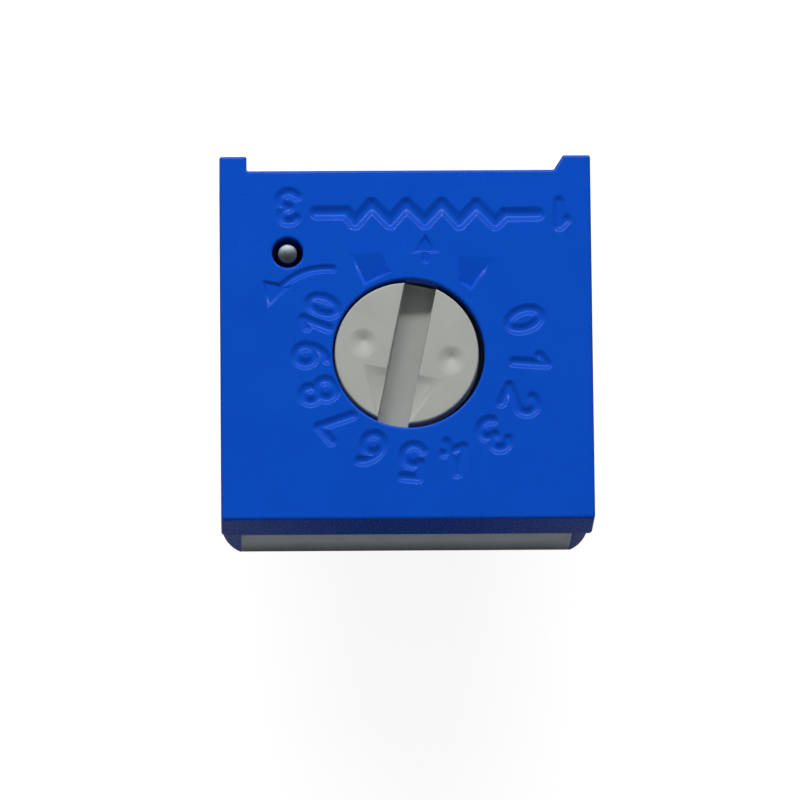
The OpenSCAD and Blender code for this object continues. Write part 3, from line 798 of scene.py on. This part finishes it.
def cut_at(mesh, place, axis=2):
    """Splits the faces that cross a plane square to an axis: Z unless another is named."""
    everything = mesh.verts[:] + mesh.edges[:] + mesh.faces[:]
    normal = np.eye(3)[axis]
    bmesh.ops.bisect_plane(mesh, geom=everything, dist=1e-5, plane_co=normal * place, plane_no=normal)


def bridge(mesh, centre, reach, low, high):
    """Joins the two open loops within reach of an upright axis and between two heights."""
    middles = {edge: (edge.verts[0].co + edge.verts[1].co) / 2 for edge in mesh.edges if edge.is_boundary}
    bmesh.ops.bridge_loops(mesh, edges=[edge for edge, at in middles.items() if low < at.z < high
                                        and math.hypot(at.x - centre[0], at.y - centre[1]) < reach])


def level_loop(mesh, z):
    """The open edge that lies in a level plane, as vertices in anticlockwise order from its +X -Y corner."""
    beside = {}
    for edge in mesh.edges:
        if edge.is_boundary and all(abs(v.co.z - z) < 0.002 for v in edge.verts):
            one, other = edge.verts
            beside.setdefault(one, []).append(other)
            beside.setdefault(other, []).append(one)
    chain = [max(beside, key=lambda v: v.co.x - v.co.y)]
    chain.append(max(beside[chain[0]], key=lambda v: v.co.x + v.co.y))
    while chain[-1] is not chain[0]:
        one, other = beside[chain[-1]]
        chain.append(other if one is chain[-2] else one)
    return chain


def zip_loops(mesh, lower, upper):
    """Joins two loops by triangles, and always takes the shorter of the two possible diagonals."""
    i = j = 0
    while i < len(lower) - 1 or j < len(upper) - 1:
        a, b = lower[i], upper[j]
        step_low = j == len(upper) - 1 or (
            i < len(lower) - 1 and (lower[i + 1].co - b.co).length <= (a.co - upper[j + 1].co).length)
        if step_low:
            i += 1
            mesh.faces.new((a, lower[i], b))
        else:
            j += 1
            mesh.faces.new((a, upper[j], b))


def bent_edges(mesh, least_degrees):
    """Edges where two faces meet at more than an angle, each with the height of its upper end."""
    return [(e, max(v.co.z for v in e.verts)) for e in mesh.edges
            if e.is_manifold and e.calc_face_angle(0) > math.radians(least_degrees)]


def bevel(mesh, edges, offset, segments):
    """Rounds edges over."""
    bmesh.ops.bevel(mesh, geom=edges, offset=offset, offset_type="OFFSET", segments=segments, profile=0.5,
                    affect="EDGES", clamp_overlap=True)


# %% The cap
cap = cad_copy("housing")
for level in (joint_z, window_joint_z, lip_joint_z):
    cut_at(cap, level)
margin = 0.15
gone = []
for face in cap.faces:
    x, y, z = face.calc_center_median()
    upright_face = abs(face.normal.z) <= 0.5
    on_side = abs(x) > side_x - margin or y < plain_side + margin or y > foot_side - margin
    in_window = math.hypot(x - lead_3_xy[0], y - lead_3_xy[1]) < window_r + 0.02
    past_joint = (on_side and z > joint_z) or (in_window and z > window_joint_z)
    if z > lip_joint_z or (upright_face and past_joint):
        gone.append(face)
bmesh.ops.delete(cap, geom=gone, context="FACES")
bmesh.ops.dissolve_limit(cap, angle_limit=math.radians(1), verts=cap.verts, edges=cap.edges)

upright = [e for e, top in bent_edges(cap, 40) if abs(top - joint_z) < 0.01
           and (e.verts[0].co - e.verts[1].co).xy.length < 0.001 and e.verts[0].co.y > foot_side - 0.05]
bevel(cap, upright, 0.05, 4)
corner_edges = [e for e, top in bent_edges(cap, 60) if top < joint_z - 0.02]
bevel(cap, corner_edges, 0.03, 2)
joint_verts = [v for v in cap.verts if v.is_boundary and abs(v.co.z - joint_z) < 0.002]
bmesh.ops.remove_doubles(cap, verts=joint_verts, dist=0.004)
print(len(upright), "standoff edges and", len(corner_edges), "other edges rounded")

for points, faces in ((cap_wall, cap_faces), aperture_wall, window_wall, face_sheet):
    add_surface(cap, points, faces)
bmesh.ops.remove_doubles(cap, verts=cap.verts, dist=2e-4)
zip_loops(cap, level_loop(cap, joint_z), level_loop(cap, joint_z + strip))
bridge(cap, (0, 0), 2.2, lip_z, lip_z + 0.06)
bridge(cap, lead_3_xy, window_r + 0.05, 2.8, 2.95)
slivers = [f for f in cap.faces if f.calc_area() < 1e-6 and any(e.is_boundary for e in f.edges)]
bmesh.ops.delete(cap, geom=slivers, context="FACES")
bmesh.ops.recalc_face_normals(cap, faces=cap.faces)
print("open edges left on the cap:", sum(e.is_boundary for e in cap.edges))
moulded_cap = finish_piece("moulded_cap", cap, housing_blue)
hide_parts("housing")
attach(moulded_cap, "housing")

# %% [markdown]
# ## The rotor
# The rotor's end is what a screwdriver meets: a deep slot that is open at both rims, an arrowhead that
# shows where the wiper points, with a soft slope behind its barbs, and two shallow dimples left by the
# mould's pins, which lean towards the arrow's tail. It is another carved sheet, whose height without
# marks is the turned profile of the neck and the hub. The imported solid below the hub's top is kept.

# %% Rotor's marks, in its own axes with the arrow towards -Y
slot_half, slot_d = 0.435, 0.76
arrow_start, arrow_end, arrow_half = 0.50, neck_r - 0.04, 1.045
arrow_deep, arrow_shallow, barb_slope = 0.09, 0.04, 0.22
dimple_r, dimple_d, dimple_x, dimple_y, dimple_lean = 0.38, 0.125, 1.145, 0.12, 0.25


def arrow_floor(points):
    """Depth of the arrowhead's floor: a soft slope behind the barbs, then a slow rise to the tip."""
    return np.interp(points[:, 1], [-arrow_end, -arrow_start - barb_slope, -arrow_start],
                     [arrow_shallow, arrow_deep, 0.0])


def steep_recess(corners, depth):
    """Recess with a small rounded top edge and a nearly upright wall."""
    corners = np.asarray(corners, float)
    distances = np.array([0, 0.008, 0.018, 0.028, 0.045, 0.06, 0.085])
    depths = np.array([0, 0.003, 0.012, 0.03, depth - 0.04, depth - 0.01, depth])
    loops = [shrunk_polygon(corners, d) for d in (-guard, *distances)]
    return loops, lambda p: np.interp(inside_polygon(p, corners), distances, depths)


def dimple(x, y):
    """Leaning dent: its depth falls from its deepest point as (1 - share of the way to the rim) to the 1.4.

    The rim is an ellipse with the deepest point in its +Y focus: radius = r / (1 + lean * sine of the angle).
    """
    deepest = np.array([x, y])
    roundness = 0.01

    def depth_at(points):
        offset = points - deepest
        share = (np.linalg.norm(offset, axis=1) + dimple_lean * offset[:, 1]) / dimple_r
        return dimple_d * np.clip(1 - np.sqrt(share ** 2 + roundness), 0, 1) ** 1.4

    rim = ring(1, 48)
    rim = dimple_r / (1 + dimple_lean * rim[:, 1:]) * rim
    return [deepest + rim * share for share in (1.03, *np.linspace(1, 0.1, 12))], depth_at


rotor_marks = [
    steep_recess([(-slot_half, -aperture_r), (slot_half, -aperture_r), (slot_half, aperture_r),
                  (-slot_half, aperture_r)], slot_d),
    recess([(-slot_half, -arrow_end), (slot_half, -arrow_end), (arrow_half, -arrow_start),
            (-arrow_half, -arrow_start)], arrow_deep, 0.14, arrow_floor),
    dimple(-dimple_x, dimple_y), dimple(dimple_x, dimple_y)]
print(len(rotor_marks), "marks on the rotor")

# %% The rotor's end
hub_count = 192
rotor_joint_z = 4.04
neck_edge_r, hub_edge_r, hub_tilt = 0.05, 0.03, 0.02
edge_in, edge_down = edge_rows(neck_edge_r)
neck_profile_r = np.concatenate([[0, neck_r - neck_edge_r - guard], neck_r - edge_in[::-1],
                                 [neck_r + 0.002, neck_r + 0.02, hub_r - hub_edge_r, hub_r]])
neck_profile_z = np.concatenate([[face_z, face_z], face_z - edge_down[::-1],
                                 hub_top + np.array([hub_tilt, 0, 0, -hub_edge_r])])
barb_end = -arrow_start - barb_slope
fold = np.array([(-arrow_half + 0.30, barb_end), (arrow_half - 0.30, barb_end)])
sheet_points, sheet_faces = carved_sheet(
    ring(hub_r, hub_count), [], rotor_marks,
    lambda p: np.interp(np.linalg.norm(p, axis=1), neck_profile_r, neck_profile_z),
    rings=[ring(r, hub_count) for r in neck_profile_r[1:-1]], lines=[fold])
hub_side = stacked([ring(hub_r, hub_count)] * 2, (rotor_joint_z + 0.04, hub_top - hub_edge_r))
turned = np.array(Matrix.Rotation(rotor_turn, 3, "Z")).T

body = cad_copy("rotor")
cut_at(body, rotor_joint_z)
above = [f for f in body.faces if f.calc_center_median().z > rotor_joint_z + 0.0005]
bmesh.ops.delete(body, geom=above, context="FACES")
add_surface(body, sheet_points @ turned, sheet_faces)
add_surface(body, hub_side @ turned, grid_faces(2, hub_count))
bmesh.ops.remove_doubles(body, verts=body.verts, dist=2e-4)
bridge(body, (0, 0), hub_r + 0.1, rotor_joint_z - 0.01, rotor_joint_z + 0.05)
bmesh.ops.recalc_face_normals(body, faces=body.faces)
print("open edges left on the rotor:", sum(e.is_boundary for e in body.edges))
slotted_rotor = finish_piece("slotted_rotor", body, rotor_white)
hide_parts("rotor")
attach(slotted_rotor, "rotor")

# %% [markdown]
# ## The leads
# A lead is tinned copper wire. Its coat has drawn itself together while it was liquid, so its radius
# swells and shrinks a little along the wire. Its sheared lower tip is rounded over and its upper end is
# a low dome. Each one is a surface of revolution whose radius is a sum of slow waves, different for
# each lead.

# %% Tinned leads
def tinned_lead(node, seed, dome):
    """Wire whose radius changes by three slow waves, closed by a dome above and a blunt tip below."""
    low, high = corners_mm(node)
    centre = (low[:2] + high[:2]) / 2
    radius = (high[0] - low[0]) / 2
    draw = np.random.default_rng(seed)
    tip, blunt, flat_r, edge_drop = 0.10, 0.62, 0.9, 0.025
    around, rows = 48, 88
    angle = np.linspace(0, np.pi / 2, 12)
    across = np.concatenate([flat_r + (1 - flat_r) * np.cos(angle), np.linspace(flat_r, 0, 14)[1:]])
    fall = np.concatenate([dome * flat_r ** 2 + edge_drop * (1 - np.sin(angle)), dome * across[12:] ** 2])
    z = np.concatenate([low[2] + tip * (1 - np.cos(angle)),
                        np.linspace(low[2] + tip, high[2] - fall[0], rows + 2)[1:-1], high[2] - fall])
    share = np.concatenate([blunt + (1 - blunt) * np.sin(angle), np.ones(rows), across])
    share[0], share[-1] = 0.0, 0.0
    swell = sum(draw.uniform(0.2, 0.4) * np.sin(z * draw.uniform(1.5, 7.0) + draw.uniform(0, 6))
                for _ in range(3))
    r = radius * share * (0.985 + 0.015 * swell)
    wire = bmesh.new()
    add_surface(wire, stacked([ring(row_r, around, centre) for row_r in r], z), grid_faces(len(z), around))
    bmesh.ops.remove_doubles(wire, verts=wire.verts, dist=1e-5)
    lead = finish_piece("tinned_" + node, wire, lead_tin)
    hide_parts(node)
    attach(lead, "housing")


for seed, node, dome in ((20, "lead_1", 0.03), (21, "lead_2", 0.03), (22, "lead_3", 0.05)):
    tinned_lead(node, seed, dome)

# %% [markdown]
# ## The potting
# The back is closed by a poured compound. It shrinks as it cures, so its skin sags between the things
# that it wets: the skirt, the feet and the leads. The solid's flat faces are divided into a grid,
# and each point sinks by a function of its distance to the nearest wetted edge. The front face also
# leans in towards the cap.

# %% Cured compound
def sag(distance, depth, reach):
    """How far the skin sinks: nothing at a wetted edge, and the full depth a few reaches away."""
    return depth * (1 - np.exp(-(np.maximum(distance, 0) / reach) ** 2))


fill = cad_copy("potting")
fill_low, fill_high = corners_mm("potting")
bmesh.ops.dissolve_limit(fill, angle_limit=math.radians(1), verts=fill.verts, edges=fill.edges)
for axis, step in ((0, 0.22), (1, 0.22), (2, 0.18)):
    for place in np.arange(fill_low[axis] + step / 2, fill_high[axis], step):
        cut_at(fill, place, axis)
bmesh.ops.triangulate(fill, faces=fill.faces)
points = np.array([vert.co for vert in fill.verts])
to_sides = np.minimum(points[:, :2] - fill_low[:2], fill_high[:2] - points[:, :2])
wetted = [(*corners_mm(node)[0][:2] + lead_r, lead_r) for node in ("lead_1", "lead_2", "lead_3")]
foot_r, foot_in = 0.45, 1.02
foot_y = (plain_side + foot_in, foot_side - foot_in)
wetted += [(x, y, foot_r) for x in (-side_x + foot_in, side_x - foot_in) for y in foot_y]
to_posts = np.min([np.hypot(points[:, 0] - x, points[:, 1] - y) - r for x, y, r in wetted], axis=0)
waves = 0.5 + 0.5 * np.sin(2.1 * points[:, 0] + 1.3 * np.sin(1.7 * points[:, 1] + 3.1 * points[:, 2]))
on_back = points[:, 2] < fill_low[2] + 1e-4
points[on_back, 2] += sag(np.minimum(to_sides.min(axis=1), to_posts), 0.05 + 0.02 * waves, 0.32)[on_back]
on_front = points[:, 1] < fill_low[1] + 1e-4
lean, lean_from = 0.13, 1.3
rise = np.clip((points[:, 2] - lean_from) / (fill_high[2] - lean_from), 0, 1)
points[on_front, 1] += (lean * rise ** 2 + sag(to_sides[:, 0], 0.012 + 0.010 * waves, 0.25))[on_front]
for vert, place in zip(fill.verts, points):
    vert.co = place
cured_potting = finish_piece("cured_potting", fill, potting_grey)
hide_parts("potting")
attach(cured_potting, "housing")

# %% [markdown]
# ## Floor
# The leads' tips stand on a plain plane. It glows white to the camera, a little less near the part, where
# its own shading makes up the rest and falls away in the part's shadow. In reflections it has no glow near
# the part, which is painted shade standing for its shadow there, and is white far off.

# %% White floor with a soft shadow
floor_mesh = bpy.data.meshes.new("floor")
floor_reach, floor_gap = 4000.0, 0.01
floor_mesh.from_pydata([(x * floor_reach * MM, y * floor_reach * MM, (floor_z - floor_gap) * MM)
                        for x, y in ((-1, -1), (1, -1), (1, 1), (-1, 1))], [], [(0, 1, 2, 3)])
floor = bpy.data.objects.new("floor", floor_mesh)
bpy.context.scene.collection.objects.link(floor)
floor_white = new_material("floor_white", (0.22, 0.22, 0.22), 0.9, specular=0.0)
rays = add_node(floor_white, "LightPath").outputs
place = add_node(floor_white, "TexCoord").outputs["Object"]
far_off = add_node(floor_white, "VectorMath", {0: place}, operation="LENGTH").outputs["Value"]
glows = []
# Near the part the glow for glossy rays is 0: painted shade in what the part mirrors of the floor.
for ray, near in (("Is Camera Ray", 0.90), ("Is Glossy Ray", 0.0)):
    rise = add_node(floor_white, "MapRange", {"Value": far_off, "From Min": 20 * MM, "From Max": 90 * MM,
                                              "To Min": near, "To Max": 1.0}).outputs["Result"]
    glows.append(add_node(floor_white, "Math", {0: rays[ray], 1: rise}, operation="MULTIPLY").outputs[0])
glow = add_node(floor_white, "Math", {0: glows[0], 1: glows[1]}, operation="ADD").outputs[0]
feed(floor_white, glow, "Emission Strength")
floor_white.node_tree.nodes["Principled BSDF"].inputs["Emission Color"].default_value = (1, 1, 1, 1)
floor_mesh.materials.append(floor_white)
print("floor at", round(floor_z - floor_gap, 3), "mm")
